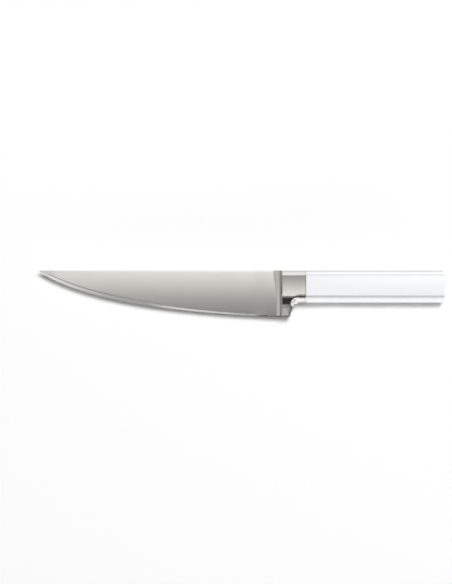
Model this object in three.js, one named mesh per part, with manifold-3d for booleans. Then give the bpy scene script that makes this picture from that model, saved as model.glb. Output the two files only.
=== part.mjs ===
// A forged kitchen knife lying on its side, as it lies on a table.
// X runs from the tip of the blade to the butt of the handle, Y from the cutting edge to the
// spine, and Z up through the thickness. Lengths are in millimetres.
// The knife is drawn around the seam between blade and bolster: x = 0 at the seam, y = 0 along
// the spine, z = 0 in the middle of the blade. The last section moves it onto the table.
import * as THREE from 'three';
import { mergeVertices } from 'three/addons/utils/BufferGeometryUtils.js';
import Module from 'manifold-3d';

const wasm = await Module();
wasm.setup();

// Blade
const BLADE_LENGTH = 200; // tip to seam
const BLADE_DEPTH = 38.2; // spine to heel
const TIP_DEPTH = 1.2; // blunt end of the tip
const TIP_REACH = 41.4; // how far the tip's direction shapes the edge, along the blade
const TIP_FALL = 26.5; // and how far it falls over that length
const BELLY_REACH = 63; // how far the heel's direction shapes the edge, along the blade
const BELLY_RISE = 3.1; // and how far it rises over that length
const EDGE_BEVEL = 1.7; // height of the bevel ground along the edge
const EDGE_THICKNESS = 0.1; // blade at the edge itself
const BEVEL_THICKNESS = 0.9; // blade where the bevel starts
const GRIND_RADIUS = 530; // both faces are ground round on this radius
const BLUNT_HEEL = 9; // heel left unsharpened in front of the seam
const BEVEL_RUNOUT = 1.6; // length over which the bevel dies out at the heel

// Shoulder at the back of the blade
const SPINE_RAMP = 6.3; // length of the rise to the shoulder at the spine
const HEEL_RAMP = 4; // and below the neck
const RAMP_STEEPNESS = 0.35; // part of the rise that is straight, the rest curves up

// Bolster: a neck with the handle's section, and a thinner finger guard below it
const BOLSTER_LENGTH = 20.3;
const GUARD_THICKNESS = 9.2;
const GUARD_FOOT = 7; // flat underside of the guard behind the seam
const FINGER_REACH = 8.6; // length of the curve from the guard to the handle's underside
const GUARD_ROUND = 0.8; // rounded edge of the guard at its foot
const FRONT_EASE = 1; // eased front edge of the bolster
const COVE_HEIGHT = 11; // height of the S-shaped step from neck to guard
const COVE_START = 3.2; // pulls the top of that step outwards
const COVE_LIP = 0.8; // fall over that pull
const COVE_END = 6.4; // pulls the foot of that step flat

// Handle
const HANDLE_LENGTH = 116.5;
const HANDLE_HEIGHT = 26.6;
const HANDLE_THICKNESS = 18.6;
const TOP_BEVEL = 4; // flat bevel along the top edges
const LOWER_FACET = 5.5; // height of the facets along the lower edges
const FLAT_UNDERSIDE = 7.2; // width of the underside between the two facets
const FACET_FULLNESS = 1.25; // 1 is a flat facet, more rolls under towards the underside
const BUTT_DOME = 3.1; // how far the butt bulges
const BUTT_FULLNESS = 2.6; // 2 is a plain bowl, more is flatter with a tighter rim
const SEAM_GAP = 0.1; // glue line between bolster and handle

// Tang and what holds the handle on it
const TANG_LENGTH = 75; // flat part, from the seam
const TANG_HEIGHT = 12;
const TANG_THICKNESS = 5;
const TANG_FIT = 0.1; // slack between tang, slot and resin
const BEDDING_THICKNESS = 1.2; // resin round the tang
const POCKET_END_GAP = 0.5; // space left past the end of the tang
const STUD_DIAMETER = 5; // threaded end of the tang
const STUD_FIT = 0.3; // slack round the stud, in the handle and in what is threaded on it
const STUD_PROUD = 1.5; // stud standing out of the nut
const NUT_POCKET_DIAMETER = 12;
const NUT_POCKET_DEPTH = 17; // from the tip of the butt
const WASHER_DIAMETER = 11;
const WASHER_THICKNESS = 1;
const SPRING_DIAMETER = 10;
const SPRING_THICKNESS = 0.6;
const SPRING_RISE = 0.5; // height of the disc spring's cone
const NUT_WIDTH = 8; // across the flats
const NUT_THICKNESS = 4;
const STACK_GAP = 0.05; // between the pieces threaded on the stud
const PLUG_FIT = 0.1;
const PLUG_GAP = 0.5; // between stud and plug
const DOWEL_DIAMETER = 3;
const DOWEL_LENGTH = 14;
const DOWEL_FIT = 0.1;
const DOWEL_CHAMFER = 0.4;
const DOWEL_SPACING = 17.6; // between the two dowels' axes

// Fineness of the facets
const BLADE_STATIONS = 24;
const TIP_CROWDING = 1.4; // 1 spaces the blade's sections evenly, more crowds them at the tip
const HALVING_STEPS = 40;
const FACE_STEPS = 6;
const RUNOUT_STATIONS = 3;
const RAMP_STATIONS = 5;
const GUARD_STATIONS = 12;
const ROUND_STEPS = 12;
const ROUND_SEGMENTS = 32;
const DOME_STATIONS = 6;
const DOME_CENTRE = 0.05; // share of the section left flat in the middle of the butt
const ROLL_SAMPLES = 60;
const CUT_MARGIN = 1; // how far a cutter or a joined piece reaches past a face

// Places that follow from the sizes
const TIP_X = -BLADE_LENGTH;
const SHARP_END_X = -BLUNT_HEEL;
const HANDLE_X = BOLSTER_LENGTH + SEAM_GAP;
const BUTT_X = HANDLE_X + HANDLE_LENGTH;
const AXIS_Y = -HANDLE_HEIGHT / 2;
const HALF_HANDLE = HANDLE_THICKNESS / 2;
const HALF_UNDERSIDE = FLAT_UNDERSIDE / 2;
const HALF_GUARD = GUARD_THICKNESS / 2;
const HALF_SHOULDER = HALF_GUARD - FRONT_EASE;
const COVE_TOP = HANDLE_HEIGHT - LOWER_FACET;
const WASHER_X = BUTT_X - NUT_POCKET_DEPTH;
const SPRING_X = WASHER_X + WASHER_THICKNESS + STACK_GAP;
const NUT_X = SPRING_X + SPRING_RISE + SPRING_THICKNESS + STACK_GAP;
const STUD_END_X = NUT_X + NUT_THICKNESS + STUD_PROUD;

const smooth = (t) => t * t * (3 - 2 * t);
const limit = (t) => Math.min(1, Math.max(0, t));

// Helpers for solids

// Height of a curve that runs steadily along its first axis, found by halving.
function heightAt(curve, along) {
  let low = 0;
  let high = 1;
  for (let step = 0; step < HALVING_STEPS; step += 1) {
    const middle = (low + high) / 2;
    if (curve.getPoint(middle).x < along) low = middle;
    else high = middle;
  }
  return curve.getPoint(high).y;
}

// A closed skin over half sections that are mirrored in z = 0. Each half section lists points
// from the spine down, and the sections follow each other along X.
function loftMirrored(halves) {
  const points = halves[0].length;
  const ring = 2 * points;
  const positions = [];
  for (const half of halves) {
    for (const p of half) positions.push(p.x, p.y, p.z);
    for (const p of [...half].reverse()) positions.push(p.x, p.y, -p.z);
  }
  const index = [];
  for (let i = 0; i + 1 < halves.length; i += 1) {
    for (let j = 0; j < ring; j += 1) {
      const a = i * ring + j;
      const b = i * ring + ((j + 1) % ring);
      index.push(a, b, b + ring, a, b + ring, a + ring);
    }
  }
  const last = (halves.length - 1) * ring;
  for (let j = 0; j + 1 < points; j += 1) {
    const across = ring - 1 - j;
    index.push(j, across - 1, j + 1, j, across, across - 1);
    index.push(last + j, last + j + 1, last + across - 1, last + j, last + across - 1, last + across);
  }
  const geometry = new THREE.BufferGeometry();
  geometry.setAttribute('position', new THREE.Float32BufferAttribute(positions, 3));
  geometry.setIndex(index);
  return geometry;
}

// An outline in the Y-Z plane pulled along X from x = 0.
function extrudeAlongX(shape, length) {
  const options = { depth: length, bevelEnabled: false, curveSegments: ROUND_SEGMENTS / 2 };
  const turn = new THREE.Matrix4().set(0, 0, 1, 0, 1, 0, 0, 0, 0, 1, 0, 0, 0, 0, 0, 1);
  return new THREE.ExtrudeGeometry(shape, options).applyMatrix4(turn);
}

// A profile of [radius, x] pairs turned about the X axis.
function turnAboutX(profile) {
  const points = profile.map(([radius, along]) => new THREE.Vector2(radius, along));
  const turn = new THREE.Matrix4().set(0, 1, 0, 0, 0, 0, 1, 0, 1, 0, 0, 0, 0, 0, 0, 1);
  return new THREE.LatheGeometry(points, ROUND_SEGMENTS).applyMatrix4(turn);
}

function rectangle(height, thickness) {
  const y = height / 2;
  const z = thickness / 2;
  return [[-y, -z], [y, -z], [y, z], [-y, z]].map(([a, b]) => new THREE.Vector2(a, b));
}

function block(height, thickness, length) {
  return extrudeAlongX(new THREE.Shape(rectangle(height, thickness)), length);
}

function rod(diameter, length) {
  return turnAboutX([[0, 0], [diameter / 2, 0], [diameter / 2, length], [0, length]]);
}

function toSolid(geometry) {
  const bare = geometry.clone();
  bare.deleteAttribute('normal');
  bare.deleteAttribute('uv');
  const merged = mergeVertices(bare);
  return new wasm.Manifold(new wasm.Mesh({
    numProp: 3,
    vertProperties: Float32Array.from(merged.attributes.position.array),
    triVerts: Uint32Array.from(merged.index.array),
  }));
}

function toGeometry(solid) {
  const mesh = solid.getMesh();
  const geometry = new THREE.BufferGeometry();
  geometry.setAttribute('position', new THREE.BufferAttribute(mesh.vertProperties, 3));
  geometry.setIndex(new THREE.BufferAttribute(mesh.triVerts, 1));
  return geometry;
}

// A block or rod placed on the tang's axis, or above and below it, ready to join or cut.
function onAxis(geometry, x, offset = 0) {
  return toSolid(geometry.clone().translate(x, AXIS_Y + offset, 0));
}

// Blade with shoulder and tang

const cuttingEdge = new THREE.CubicBezierCurve(
  new THREE.Vector2(TIP_X, TIP_DEPTH),
  new THREE.Vector2(TIP_X + TIP_REACH, TIP_DEPTH + TIP_FALL),
  new THREE.Vector2(SHARP_END_X - BELLY_REACH, BLADE_DEPTH - BELLY_RISE),
  new THREE.Vector2(SHARP_END_X, BLADE_DEPTH),
);

// Half section of the ground blade. The faces bulge on the grinding radius, so the spine gets
// thinner towards the tip as the blade gets narrower.
function bladeSection(x, depth, halfEdge) {
  const bevel = Math.min(EDGE_BEVEL, depth / 2);
  const ground = depth - bevel;
  const section = [];
  for (let step = 0; step <= FACE_STEPS; step += 1) {
    const down = (ground * step) / FACE_STEPS;
    const bulge = (ground * ground - down * down) / (2 * GRIND_RADIUS);
    section.push(new THREE.Vector3(x, -down, BEVEL_THICKNESS / 2 + bulge));
  }
  section.push(new THREE.Vector3(x, -depth, halfEdge));
  return section;
}

// Where the rise to the shoulder starts: further forward at the spine than below the neck.
function rampStart(down) {
  const share = smooth(limit(down / COVE_TOP));
  return -(SPINE_RAMP + (HEEL_RAMP - SPINE_RAMP) * share);
}

// The blunt heel's section, part of the way up the rise to the shoulder.
function rampSection(rise) {
  return bladeSection(0, BLADE_DEPTH, BEVEL_THICKNESS / 2).map((p) => {
    const lift = RAMP_STEEPNESS * rise + (1 - RAMP_STEEPNESS) * rise * rise;
    return new THREE.Vector3(rampStart(-p.y) * (1 - rise), p.y, p.z + (HALF_SHOULDER - p.z) * lift);
  });
}

function bladeGeometry() {
  const sections = [];
  const sharpLength = BLADE_LENGTH - BLUNT_HEEL - BEVEL_RUNOUT;
  for (let station = 0; station <= BLADE_STATIONS; station += 1) {
    const x = TIP_X + sharpLength * (station / BLADE_STATIONS) ** TIP_CROWDING;
    sections.push(bladeSection(x, heightAt(cuttingEdge, x), EDGE_THICKNESS / 2));
  }
  for (let station = 1; station <= RUNOUT_STATIONS; station += 1) {
    const share = station / RUNOUT_STATIONS;
    const x = SHARP_END_X - BEVEL_RUNOUT * (1 - share);
    const halfEdge = (EDGE_THICKNESS + (BEVEL_THICKNESS - EDGE_THICKNESS) * share * share) / 2;
    sections.push(bladeSection(x, heightAt(cuttingEdge, x), halfEdge));
  }
  for (let station = 0; station <= RAMP_STATIONS; station += 1) {
    sections.push(rampSection(station / RAMP_STATIONS));
  }
  const tang = block(TANG_HEIGHT, TANG_THICKNESS, CUT_MARGIN + TANG_LENGTH);
  const stud = rod(STUD_DIAMETER, CUT_MARGIN + STUD_END_X - TANG_LENGTH);
  const forging = toSolid(loftMirrored(sections))
    .add(onAxis(tang, -CUT_MARGIN))
    .add(onAxis(stud, TANG_LENGTH - CUT_MARGIN));
  return toGeometry(forging);
}

// Section shared by the neck of the bolster and the handle

// The flat bevel and flat side above the lower edge, at a given half thickness.
function upperPoints(x, half) {
  return [
    new THREE.Vector3(x, 0, half - TOP_BEVEL),
    new THREE.Vector3(x, -TOP_BEVEL, half),
  ];
}

// Height share on a lower facet: 0 at the underside, 1 at the flat side.
function facetShare(inwards) {
  return inwards ** (1 / FACET_FULLNESS);
}

function handleSection(x) {
  const section = upperPoints(x, HALF_HANDLE);
  for (let step = 0; step <= ROUND_STEPS; step += 1) {
    const inwards = 1 - Math.sin((Math.PI / 2) * (step / ROUND_STEPS));
    const out = HALF_UNDERSIDE + (HALF_HANDLE - HALF_UNDERSIDE) * facetShare(inwards);
    section.push(new THREE.Vector3(x, LOWER_FACET * inwards - HANDLE_HEIGHT, out));
  }
  return section;
}

// Bolster

const cove = new THREE.CubicBezierCurve(
  new THREE.Vector2(COVE_TOP, HALF_HANDLE),
  new THREE.Vector2(COVE_TOP + COVE_START, HALF_HANDLE - COVE_LIP),
  new THREE.Vector2(COVE_TOP + COVE_HEIGHT - COVE_END, HALF_GUARD),
  new THREE.Vector2(COVE_TOP + COVE_HEIGHT, HALF_GUARD),
);

// Point of the finger curve: turn 0 is the guard's foot, turn 1 the handle's underside.
function fingerCurve(turn) {
  const angle = (Math.PI / 2) * turn;
  return new THREE.Vector2(
    GUARD_FOOT + FINGER_REACH * (1 - Math.cos(angle)),
    BLADE_DEPTH - (BLADE_DEPTH - HANDLE_HEIGHT) * Math.sin(angle),
  );
}

// Half thickness of the bolster before its outer edge is rounded. The step down to the guard
// dies out along the finger curve, so the back of the neck has the handle's plain section.
function bolsterBody(x, down) {
  if (down <= COVE_TOP) return HALF_HANDLE;
  const stepped = heightAt(cove, Math.min(down, COVE_TOP + COVE_HEIGHT));
  return stepped + (HALF_HANDLE - stepped) * smooth(limit((x - GUARD_FOOT) / FINGER_REACH));
}

// Distance to the bolster's lower outline, and how far round the finger curve that outline is.
function nearestOutline(x, down) {
  let best = { distance: Infinity, turn: 0 };
  for (let sample = 0; sample <= ROLL_SAMPLES; sample += 1) {
    const turn = sample / ROLL_SAMPLES;
    const distance = fingerCurve(turn).distanceTo(new THREE.Vector2(x, down));
    if (distance < best.distance) best = { distance, turn };
  }
  const behind = x > GUARD_FOOT + FINGER_REACH;
  const ahead = x < GUARD_FOOT;
  if (behind) best = { distance: HANDLE_HEIGHT - down, turn: 1 };
  if (ahead && BLADE_DEPTH - down < best.distance) best = { distance: BLADE_DEPTH - down, turn: 0 };
  return best;
}

// The outer edge turns from the handle's lower facet into a small quarter round at the foot.
function bolsterHalf(x, down) {
  const { distance, turn } = nearestOutline(x, down);
  const width = GUARD_ROUND + (LOWER_FACET - GUARD_ROUND) * turn;
  const heelSide = HALF_GUARD - GUARD_ROUND;
  const side = heelSide + (HALF_UNDERSIDE - heelSide) * turn;
  const inwards = limit(distance / width);
  const round = Math.sqrt(1 - (1 - inwards) * (1 - inwards));
  return side + (bolsterBody(x, down) - side) * (round + (facetShare(inwards) - round) * turn);
}

function bolsterSection(x, lowest) {
  const ease = FRONT_EASE * (1 - limit(x / FRONT_EASE));
  const section = upperPoints(x, HALF_HANDLE - ease);
  for (let step = 0; step <= ROUND_STEPS; step += 1) {
    const down = COVE_TOP + (lowest - COVE_TOP) * Math.sin((Math.PI / 2) * (step / ROUND_STEPS));
    section.push(new THREE.Vector3(x, -down, bolsterHalf(x, down) - ease));
  }
  return section;
}

function bolsterGeometry() {
  const sections = [bolsterSection(0, BLADE_DEPTH), bolsterSection(FRONT_EASE, BLADE_DEPTH)];
  for (let station = 0; station <= GUARD_STATIONS; station += 1) {
    const outline = fingerCurve(station / GUARD_STATIONS);
    sections.push(bolsterSection(outline.x, outline.y));
  }
  sections.push(handleSection(BOLSTER_LENGTH));
  const slot = block(TANG_HEIGHT + 2 * TANG_FIT, TANG_THICKNESS + 2 * TANG_FIT,
    BOLSTER_LENGTH + 2 * CUT_MARGIN);
  const neck = toSolid(loftMirrored(sections)).subtract(onAxis(slot, -CUT_MARGIN));
  return toGeometry(cutDowelHoles(neck));
}

// Dowels between bolster and handle

const dowelOffsets = [DOWEL_SPACING / 2, -DOWEL_SPACING / 2];
const dowelX = HANDLE_X - SEAM_GAP / 2 - DOWEL_LENGTH / 2;

function cutDowelHoles(solid) {
  const hole = rod(DOWEL_DIAMETER + 2 * DOWEL_FIT, DOWEL_LENGTH + 2 * DOWEL_FIT);
  return dowelOffsets.reduce(
    (rest, offset) => rest.subtract(onAxis(hole, dowelX - DOWEL_FIT, offset)), solid);
}

function dowelGeometry() {
  const radius = DOWEL_DIAMETER / 2;
  return turnAboutX([
    [0, 0],
    [radius - DOWEL_CHAMFER, 0],
    [radius, DOWEL_CHAMFER],
    [radius, DOWEL_LENGTH - DOWEL_CHAMFER],
    [radius - DOWEL_CHAMFER, DOWEL_LENGTH],
    [0, DOWEL_LENGTH],
  ]);
}

// Handle and plug

// The handle's section drawn in towards its middle, on the dome of the butt.
function domeSection(share) {
  return handleSection(BUTT_X - BUTT_DOME * share ** BUTT_FULLNESS).map(
    (p) => new THREE.Vector3(p.x, AXIS_Y + (p.y - AXIS_Y) * share, p.z * share));
}

function handleBlank() {
  const sections = [handleSection(HANDLE_X)];
  for (let station = DOME_STATIONS; station > 0; station -= 1) {
    sections.push(domeSection(Math.sqrt(station / DOME_STATIONS)));
  }
  sections.push(domeSection(DOME_CENTRE));
  return toSolid(loftMirrored(sections));
}

const POCKET_HEIGHT = TANG_HEIGHT + 2 * BEDDING_THICKNESS;
const POCKET_THICKNESS = TANG_THICKNESS + 2 * BEDDING_THICKNESS;
const POCKET_LENGTH = TANG_LENGTH + POCKET_END_GAP - HANDLE_X;

function handleGeometry() {
  const pocket = block(POCKET_HEIGHT, POCKET_THICKNESS, CUT_MARGIN + POCKET_LENGTH);
  const studHole = rod(STUD_DIAMETER + 2 * STUD_FIT, BUTT_X - TANG_LENGTH);
  const nutPocket = rod(NUT_POCKET_DIAMETER, NUT_POCKET_DEPTH + CUT_MARGIN);
  const bored = handleBlank()
    .subtract(onAxis(pocket, HANDLE_X - CUT_MARGIN))
    .subtract(onAxis(studHole, TANG_LENGTH))
    .subtract(onAxis(nutPocket, WASHER_X));
  return toGeometry(cutDowelHoles(bored));
}

function plugGeometry() {
  const x = STUD_END_X + PLUG_GAP;
  const round = rod(NUT_POCKET_DIAMETER - 2 * PLUG_FIT, BUTT_X + CUT_MARGIN - x);
  return toGeometry(handleBlank().intersect(onAxis(round, x)));
}

// What holds the handle on the tang

function beddingGeometry() {
  const sleeve = new THREE.Shape(rectangle(POCKET_HEIGHT - 2 * TANG_FIT, POCKET_THICKNESS - 2 * TANG_FIT));
  const inside = rectangle(TANG_HEIGHT + 2 * TANG_FIT, TANG_THICKNESS + 2 * TANG_FIT);
  sleeve.holes.push(new THREE.Path(inside));
  return extrudeAlongX(sleeve, TANG_LENGTH - HANDLE_X);
}

const THREADED_RADIUS = STUD_DIAMETER / 2 + STUD_FIT;

function washerGeometry() {
  const radius = WASHER_DIAMETER / 2;
  return turnAboutX([
    [THREADED_RADIUS, 0],
    [radius, 0],
    [radius, WASHER_THICKNESS],
    [THREADED_RADIUS, WASHER_THICKNESS],
    [THREADED_RADIUS, 0],
  ]);
}

function springGeometry() {
  const radius = SPRING_DIAMETER / 2;
  return turnAboutX([
    [THREADED_RADIUS, SPRING_RISE],
    [radius, 0],
    [radius, SPRING_THICKNESS],
    [THREADED_RADIUS, SPRING_RISE + SPRING_THICKNESS],
    [THREADED_RADIUS, SPRING_RISE],
  ]);
}

function nutGeometry() {
  const corner = NUT_WIDTH / Math.sqrt(3);
  const corners = Array.from({ length: 6 }, (unused, i) => {
    const angle = (Math.PI / 3) * i;
    return new THREE.Vector2(corner * Math.cos(angle), corner * Math.sin(angle));
  });
  const outline = new THREE.Shape(corners);
  outline.holes.push(new THREE.Path().absarc(0, 0, THREADED_RADIUS, 0, 2 * Math.PI, true));
  return extrudeAlongX(outline, NUT_THICKNESS);
}

// Assembly

const satinSteel = { color: 0xc4c1bb, roughness: 0.36, metalness: 1 };
const polishedSteel = { color: 0xcfccc7, roughness: 0.28, metalness: 1 };
const plainSteel = { color: 0xa9a9a6, roughness: 0.45, metalness: 1 };
const whitePlastic = { color: 0xf4f5f7, roughness: 0.25, metalness: 0 };
const resin = { color: 0xc9b27a, roughness: 0.5, metalness: 0 };

function piece(name, geometry, look) {
  const mesh = new THREE.Mesh(geometry, new THREE.MeshStandardMaterial(look));
  mesh.name = name;
  return mesh;
}

// A piece drawn from x = 0 on the tang's axis, moved to its place along it.
function threaded(name, geometry, look, x, offset = 0) {
  const mesh = piece(name, geometry, look);
  mesh.position.set(x, offset, 0);
  return mesh;
}

const tangAxis = new THREE.Group();
tangAxis.position.y = AXIS_Y;
tangAxis.add(
  threaded('tang_bedding', beddingGeometry(), resin, HANDLE_X),
  threaded('upper_dowel', dowelGeometry(), plainSteel, dowelX, dowelOffsets[0]),
  threaded('lower_dowel', dowelGeometry(), plainSteel, dowelX, dowelOffsets[1]),
  threaded('tang_washer', washerGeometry(), plainSteel, WASHER_X),
  threaded('tang_spring', springGeometry(), plainSteel, SPRING_X),
  threaded('tang_nut', nutGeometry(), plainSteel, NUT_X),
);

const knife = new THREE.Group();
knife.add(
  piece('blade', bladeGeometry(), satinSteel),
  piece('bolster', bolsterGeometry(), polishedSteel),
  piece('handle', handleGeometry(), whitePlastic),
  piece('butt_plug', plugGeometry(), whitePlastic),
  tangAxis,
);
knife.position.set(-(TIP_X + BUTT_X) / 2, BLADE_DEPTH / 2, HALF_HANDLE);

export default knife;
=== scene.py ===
# %% [markdown]
# # A kitchen knife, dressed over its solids
#
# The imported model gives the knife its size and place: ten solids that lie on a table, with X from
# the tip to the butt, Y from the cutting edge to the spine and Z up through the thickness. This
# lesson makes finer surfaces in the same places and gives them their finishes. Nothing is moved or
# resized, so every value that can be read from the solids is read from them.

# %% Load the solids
import math

import bmesh
import bpy
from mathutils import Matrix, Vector


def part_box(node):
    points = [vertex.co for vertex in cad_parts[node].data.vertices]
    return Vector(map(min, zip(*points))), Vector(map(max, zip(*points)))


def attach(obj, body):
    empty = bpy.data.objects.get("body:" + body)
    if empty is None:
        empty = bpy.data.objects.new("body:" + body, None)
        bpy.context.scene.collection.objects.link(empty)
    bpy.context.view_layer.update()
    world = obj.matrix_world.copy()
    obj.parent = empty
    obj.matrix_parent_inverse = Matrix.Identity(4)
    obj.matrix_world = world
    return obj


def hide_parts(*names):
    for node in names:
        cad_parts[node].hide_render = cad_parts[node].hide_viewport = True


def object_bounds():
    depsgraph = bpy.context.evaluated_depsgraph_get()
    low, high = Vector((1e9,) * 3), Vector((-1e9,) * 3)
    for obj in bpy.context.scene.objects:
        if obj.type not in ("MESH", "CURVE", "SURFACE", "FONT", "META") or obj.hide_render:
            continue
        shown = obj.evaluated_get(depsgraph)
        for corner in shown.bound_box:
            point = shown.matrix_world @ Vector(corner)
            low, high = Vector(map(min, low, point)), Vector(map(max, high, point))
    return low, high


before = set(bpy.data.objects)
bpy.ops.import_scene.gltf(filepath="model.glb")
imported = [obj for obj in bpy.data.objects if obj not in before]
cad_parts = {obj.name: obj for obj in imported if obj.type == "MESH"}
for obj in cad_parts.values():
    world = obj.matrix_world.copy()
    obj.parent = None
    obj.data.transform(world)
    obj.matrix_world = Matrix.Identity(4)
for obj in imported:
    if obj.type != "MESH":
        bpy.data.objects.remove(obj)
cad_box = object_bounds()
BODY = "root"
print("solids:", sorted(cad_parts))
print("box of the solids, in metres:", [list(corner) for corner in cad_box])

# %% [markdown]
# ## The knife's own directions
#
# A cutler measures a knife from the seam between blade and bolster and from the spine. So the
# pieces below are drawn with three such distances: `along` from the seam towards the butt, `down`
# from the spine towards the edge, and `out` from the middle of the thickness. One function turns
# them into a place in the shared frame.

# %% Measure the solids
MM = 0.001
SEAM_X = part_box("bolster")[0].x
SPINE_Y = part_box("blade")[1].y
MIDDLE_Z = (cad_box[0].z + cad_box[1].z) / 2
BLADE_LENGTH = SEAM_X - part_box("blade")[0].x
BLADE_DEPTH = SPINE_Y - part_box("blade")[0].y
BOLSTER_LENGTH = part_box("bolster")[1].x - SEAM_X
HANDLE_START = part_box("handle")[0].x - SEAM_X
HANDLE_HEIGHT = SPINE_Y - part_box("handle")[0].y
HALF_HANDLE = (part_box("handle")[1].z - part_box("handle")[0].z) / 2
BUTT = cad_box[1].x - SEAM_X
AXIS_DOWN = HANDLE_HEIGHT / 2


def place(along, down, out):
    return Vector((SEAM_X + along, SPINE_Y - down, MIDDLE_Z + out))


print("blade", round(BLADE_LENGTH / MM, 1), "x", round(BLADE_DEPTH / MM, 1), "mm")
print("handle", round((BUTT - HANDLE_START) / MM, 1), "x", round(HANDLE_HEIGHT / MM, 1), "mm")

# %% [markdown]
# ## Camera
#
# The knife was photographed from straight above with the spine level in the picture. A long lens
# far away keeps the edges of such a long thing from leaning outwards. The picture is 452 by 584
# pixels, the seam lies at pixel 281.2 and the spine at pixel 270.5, and one pixel is 0.828 mm.

# %% Set the camera over the knife
PICTURE = (452, 584)
SEAM_PIXEL = 281.2
SPINE_PIXEL = 270.5
BLADE_PIXELS = 241.6
PIXEL = BLADE_LENGTH / BLADE_PIXELS
LENS = 200.0
SENSOR = 36.0

camera_data = bpy.data.cameras.new("camera")
camera_data.lens = LENS
camera_data.sensor_width = SENSOR
camera = bpy.data.objects.new("camera", camera_data)
bpy.context.collection.objects.link(camera)
bpy.context.scene.camera = camera

camera_height = PICTURE[1] * PIXEL * LENS / SENSOR
camera.location = place(
    (PICTURE[0] / 2 - SEAM_PIXEL) * PIXEL,
    (PICTURE[1] / 2 - SPINE_PIXEL) * PIXEL,
    camera_height,
)
print("camera looks straight down from", round(camera.location.z, 3), "m")

# %% [markdown]
# ## Helpers for meshes
#
# Blade, bolster and handle are all the same on both sides, so each is drawn as one half: rows of
# points from the spine down, one row after the other along the knife. For bolster and handle, the
# helper here mirrors the half, closes the spine, the underside and the two ends, and gives one closed
# mesh. Sharp corners are marked by their angle. Gentler creases get rows of points close together
# instead, because that also gives them the tiny radius that a real edge has.


# %% Make closed meshes from mirrored halves
MERGE_DISTANCE = 1e-7
CREASE = 40


def new_piece(name, mesh):
    piece = bpy.data.objects.new(name, mesh)
    bpy.context.collection.objects.link(piece)
    return piece


def shade(mesh, crease=CREASE):
    """Smooth shading, with edges sharper than the crease angle, in degrees, left sharp."""
    work = bmesh.new()
    work.from_mesh(mesh)
    bmesh.ops.remove_doubles(work, verts=work.verts, dist=MERGE_DISTANCE)
    bmesh.ops.dissolve_degenerate(work, edges=work.edges, dist=MERGE_DISTANCE)
    bmesh.ops.recalc_face_normals(work, faces=work.faces)
    for face in work.faces:
        face.smooth = True
    for edge in work.edges:
        edge.smooth = len(edge.link_faces) == 2 and edge.calc_face_angle() < math.radians(crease)
    open_edges = sum(1 for edge in work.edges if len(edge.link_faces) != 2)
    work.to_mesh(mesh)
    work.free()
    print(mesh.name, len(mesh.polygons), "faces,", open_edges, "open edges")


def mirrored_mesh(name, halves):
    """A closed mesh from half sections, each a list of (along, down, out) from the spine down."""
    points = len(halves[0])
    ring = 2 * points
    vertices = []
    for half in halves:
        vertices += [place(*p) for p in half]
        vertices += [place(along, down, -out) for along, down, out in reversed(half)]
    faces = []
    for i in range(len(halves) - 1):
        for j in range(ring):
            a, b = i * ring + j, i * ring + (j + 1) % ring
            faces.append((a, b, b + ring, a + ring))
    last = (len(halves) - 1) * ring
    for j in range(points - 1):
        across = ring - 1 - j
        faces.append((j, across, across - 1, j + 1))
        faces.append((last + j, last + j + 1, last + across - 1, last + across))
    mesh = bpy.data.meshes.new(name)
    mesh.from_pydata(vertices, [], faces)
    shade(mesh)
    return mesh


print("edges over", CREASE, "degrees stay sharp")


# %% Work out curves and rounded edges
def limit(value):
    return min(1.0, max(0.0, value))


def smooth(value):
    return value * value * (3 - 2 * value)


def spread(start, end, steps):
    return [start + (end - start) * i / steps for i in range(steps + 1)]


def bezier(points, t):
    """Point on a cubic Bezier curve with four control points of two numbers each."""
    weights = ((1 - t) ** 3, 3 * t * (1 - t) ** 2, 3 * t * t * (1 - t), t**3)
    return [sum(w * p[axis] for w, p in zip(weights, points)) for axis in (0, 1)]


HALVING_STEPS = 40


def bezier_height(points, along):
    """Height of a curve that runs steadily along its first axis, found by halving."""
    low, high = 0.0, 1.0
    for _ in range(HALVING_STEPS):
        middle = (low + high) / 2
        if bezier(points, middle)[0] < along:
            low = middle
        else:
            high = middle
    return bezier(points, high)[1]


def edge_fall(distance, reach):
    """How far a rounded edge falls back, at a distance from the end of the piece."""
    near = 1 - limit(distance / reach)
    return reach * (1 - math.sqrt(1 - near * near))


print("a 1 mm edge falls back", round(edge_fall(0.5 * MM, 1 * MM) / MM, 2), "mm halfway")

# %% [markdown]
# ## Helpers for joining and cutting
#
# The tang runs through the bolster into the handle, so both are hollow where it lies. The cutters
# are plain prisms pulled along the knife, and Boolean modifiers join or cut with them. The exact
# solver is slower than the fast one and keeps every mesh closed, which is what counts here.

# %% Pull prisms along the knife and combine them with a mesh
ROUND_SIDES = 64
OVERLAP = 1 * MM


def round_outline(radius, down=AXIS_DOWN):
    turns = spread(0, 2 * math.pi, ROUND_SIDES)[:-1]
    return [(down + radius * math.cos(turn), radius * math.sin(turn)) for turn in turns]


def square_outline(height, thickness):
    corners = [(-1, -1), (1, -1), (1, 1), (-1, 1)]
    return [(AXIS_DOWN + a * height / 2, b * thickness / 2) for a, b in corners]


def prism(name, outline, start, end):
    """A closed mesh that pulls an outline of (down, out) points along the knife."""
    count = len(outline)
    vertices = [place(along, down, out) for along in (start, end) for down, out in outline]
    faces = [(i, (i + 1) % count, (i + 1) % count + count, i + count) for i in range(count)]
    faces += [tuple(range(count)), tuple(range(count, 2 * count))]
    mesh = bpy.data.meshes.new(name)
    mesh.from_pydata(vertices, [], faces)
    shade(mesh)
    return mesh


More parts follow.
